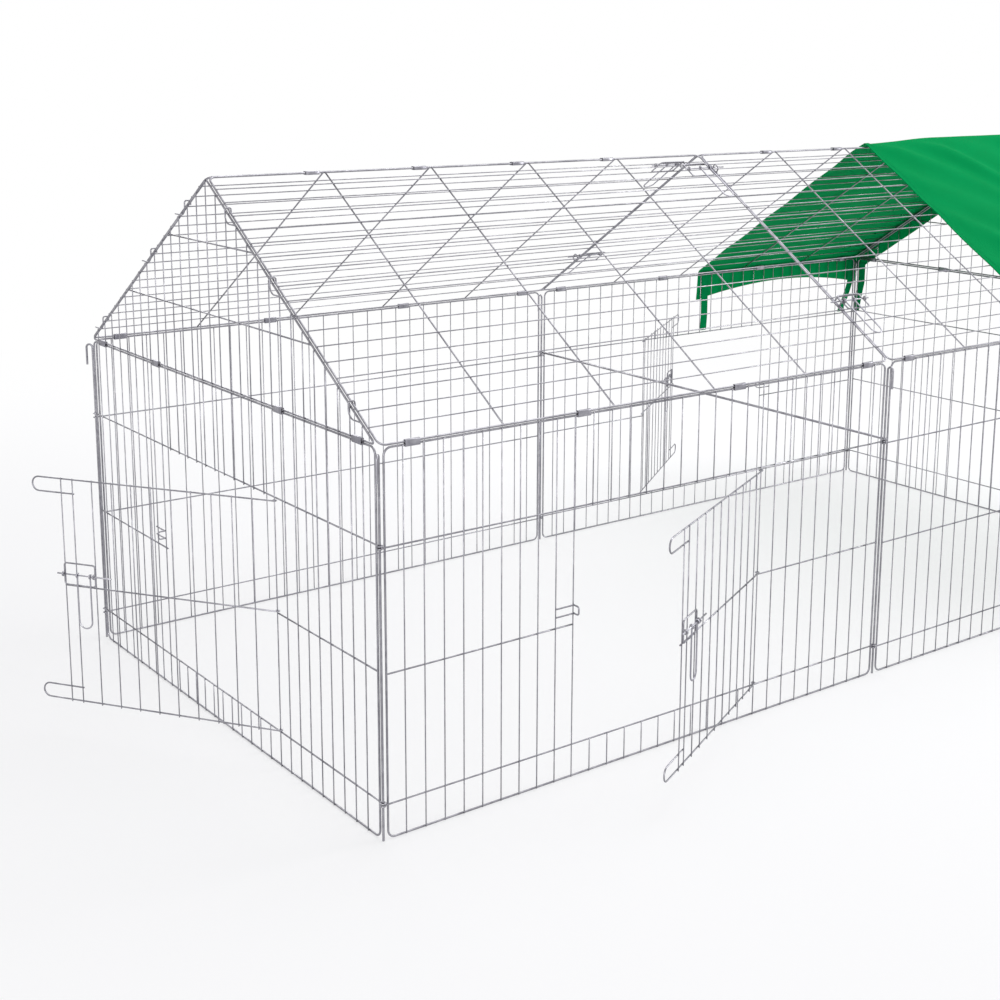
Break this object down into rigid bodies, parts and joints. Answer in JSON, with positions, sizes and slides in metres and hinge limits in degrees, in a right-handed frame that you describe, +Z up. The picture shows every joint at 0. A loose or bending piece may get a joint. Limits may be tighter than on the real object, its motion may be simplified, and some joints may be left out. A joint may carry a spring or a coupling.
{
  "type": "wire pet run",
  "caption": "Free-standing welded-wire pet run with a gabled mesh roof, latched hinged doors, pull-out corner rods and a fabric sun cover over one end.",
  "frame": {"origin": "middle of the footprint of the closed run, on the ground", "axes": "+X along the run's length towards the covered end, +Y from the front wall to the back wall, +Z up"},
  "size_m": [2.4683, 1.5235, 0.9675],
  "materials": {
    "galvanised_wire": "electro-galvanised steel wire, satin grey zinc",
    "bright_wire": "electro-galvanised steel wire, slightly brighter where it slides",
    "clip_steel": "bent zinc-plated steel sheet",
    "cover_fabric": "woven coated polyester, semi-matt green",
    "strap_fabric": "woven tape, semi-matt green"
  },
  "bodies": {
    "run": {"front_left_panel": "galvanised_wire", "front_right_panel": "galvanised_wire", "back_left_panel": "galvanised_wire", "back_right_panel": "galvanised_wire", "left_end_panel": "galvanised_wire", "right_end_panel": "galvanised_wire", "front_left_roof": "galvanised_wire", "front_right_roof": "galvanised_wire", "back_left_roof": "galvanised_wire", "back_right_roof": "galvanised_wire", "left_gable": "galvanised_wire", "right_gable": "galvanised_wire", "left_gable_hooks": "galvanised_wire", "right_gable_hooks": "galvanised_wire", "front_right_rod": "galvanised_wire", "back_right_rod": "galvanised_wire", "tie_bar": "galvanised_wire", "front_left_eave_clips": "clip_steel", "front_right_eave_clips": "clip_steel", "back_left_eave_clips": "clip_steel", "back_right_eave_clips": "clip_steel", "left_gable_clips": "clip_steel", "right_gable_clips": "clip_steel", "left_ridge_clips": "clip_steel", "right_ridge_clips": "clip_steel", "sun_cover": "cover_fabric", "cover_straps": "strap_fabric"},
    "front_door": {"front_door": "galvanised_wire"},
    "front_door_bolt": {"front_door_bolt": "bright_wire"},
    "front_door_handle": {"front_door_handle": "bright_wire"},
    "left_door": {"left_door": "galvanised_wire"},
    "left_door_bolt": {"left_door_bolt": "bright_wire"},
    "left_door_handle": {"left_door_handle": "bright_wire"},
    "back_door": {"back_door": "galvanised_wire"},
    "back_door_bolt": {"back_door_bolt": "bright_wire"},
    "back_door_handle": {"back_door_handle": "bright_wire"},
    "front_left_roof_bolt": {"front_left_roof_bolt": "bright_wire"},
    "front_left_roof_handle": {"front_left_roof_handle": "bright_wire"},
    "front_right_roof_bolt": {"front_right_roof_bolt": "bright_wire"},
    "front_right_roof_handle": {"front_right_roof_handle": "bright_wire"},
    "back_left_roof_bolt": {"back_left_roof_bolt": "bright_wire"},
    "back_left_roof_handle": {"back_left_roof_handle": "bright_wire"},
    "back_right_roof_bolt": {"back_right_roof_bolt": "bright_wire"},
    "back_right_roof_handle": {"back_right_roof_handle": "bright_wire"},
    "front_left_rod": {"front_left_rod": "galvanised_wire"},
    "back_left_rod": {"back_left_rod": "galvanised_wire"},
    "front_middle_rod": {"front_middle_rod": "galvanised_wire"},
    "back_middle_rod": {"back_middle_rod": "galvanised_wire"}
  },
  "joints": [
    {"name": "front_door_hinge", "type": "hinge", "parent": "run", "child": "front_door", "pos_m": [-0.32543, -0.52745, 0.4545], "axis": [0, 0, 1], "range_deg": [-26.8, 133.2]},
    {"name": "front_door_bolt_slide", "type": "slide", "parent": "front_door", "child": "front_door_bolt", "axis": [-0.8926, -0.4509, 0], "range_m": [0, 0.023]},
    {"name": "front_door_handle_swing", "type": "hinge", "parent": "front_door_bolt", "child": "front_door_handle", "pos_m": [-0.63155, -0.69437, 0.291], "axis": [-0.8926, -0.4509, 0], "range_deg": [0, 120]},
    {"name": "left_door_hinge", "type": "hinge", "parent": "run", "child": "left_door", "pos_m": [-1.10245, -0.2115, 0.4585], "axis": [0, 0, 1], "range_deg": [-34.3, 125.7]},
    {"name": "left_door_bolt_slide", "type": "slide", "parent": "left_door", "child": "left_door_bolt", "axis": [-0.5635, 0.8261, 0], "range_m": [0, 0.023]},
    {"name": "left_door_handle_swing", "type": "hinge", "parent": "left_door_bolt", "child": "left_door_handle", "pos_m": [-1.31185, 0.07599, 0.295], "axis": [-0.5635, 0.8261, 0], "range_deg": [0, 120]},
    {"name": "back_door_hinge", "type": "hinge", "parent": "run", "child": "back_door", "pos_m": [0.32543, 0.52745, 0.4545], "axis": [0, 0, 1], "range_deg": [-36, 124]},
    {"name": "back_door_bolt_slide", "type": "slide", "parent": "back_door", "child": "back_door_bolt", "axis": [0.809, 0.5878, 0], "range_m": [0, 0.023]},
    {"name": "back_door_handle_swing", "type": "hinge", "parent": "back_door_bolt", "child": "back_door_handle", "pos_m": [0.60093, 0.74117, 0.291], "axis": [0.809, 0.5878, 0], "range_deg": [0, 120]},
    {"name": "front_left_roof_bolt_slide", "type": "slide", "parent": "run", "child": "front_left_roof_bolt", "axis": [-1, 0, 0], "range_m": [0, 0.023]},
    {"name": "front_left_roof_handle_swing", "type": "hinge", "parent": "front_left_roof_bolt", "child": "front_left_roof_handle", "pos_m": [-0.0285, -0.05041, 0.93624], "axis": [-1, 0, 0], "range_deg": [0, 120]},
    {"name": "front_right_roof_bolt_slide", "type": "slide", "parent": "run", "child": "front_right_roof_bolt", "axis": [1, 0, 0], "range_m": [0, 0.023]},
    {"name": "front_right_roof_handle_swing", "type": "hinge", "parent": "front_right_roof_bolt", "child": "front_right_roof_handle", "pos_m": [0.0285, -0.39896, 0.7058], "axis": [-1, 0, 0], "range_deg": [0, 120]},
    {"name": "back_left_roof_bolt_slide", "type": "slide", "parent": "run", "child": "back_left_roof_bolt", "axis": [-1, 0, 0], "range_m": [0, 0.023]},
    {"name": "back_left_roof_handle_swing", "type": "hinge", "parent": "back_left_roof_bolt", "child": "back_left_roof_handle", "pos_m": [-0.0285, 0.05041, 0.93624], "axis": [1, 0, 0], "range_deg": [0, 120]},
    {"name": "back_right_roof_bolt_slide", "type": "slide", "parent": "run", "child": "back_right_roof_bolt", "axis": [1, 0, 0], "range_m": [0, 0.023]},
    {"name": "back_right_roof_handle_swing", "type": "hinge", "parent": "back_right_roof_bolt", "child": "back_right_roof_handle", "pos_m": [0.0285, 0.39896, 0.7058], "axis": [1, 0, 0], "range_deg": [0, 120]},
    {"name": "front_left_rod_pull", "type": "slide", "parent": "run", "child": "front_left_rod", "axis": [0, 0, 1], "range_m": [0, 0.47]},
    {"name": "back_left_rod_pull", "type": "slide", "parent": "run", "child": "back_left_rod", "axis": [0, 0, 1], "range_m": [0, 0.47]},
    {"name": "front_middle_rod_pull", "type": "slide", "parent": "run", "child": "front_middle_rod", "axis": [0, 0, 1], "range_m": [0, 0.47]},
    {"name": "back_middle_rod_pull", "type": "slide", "parent": "run", "child": "back_middle_rod", "axis": [0, 0, 1], "range_m": [0, 0.47]}
  ]
}
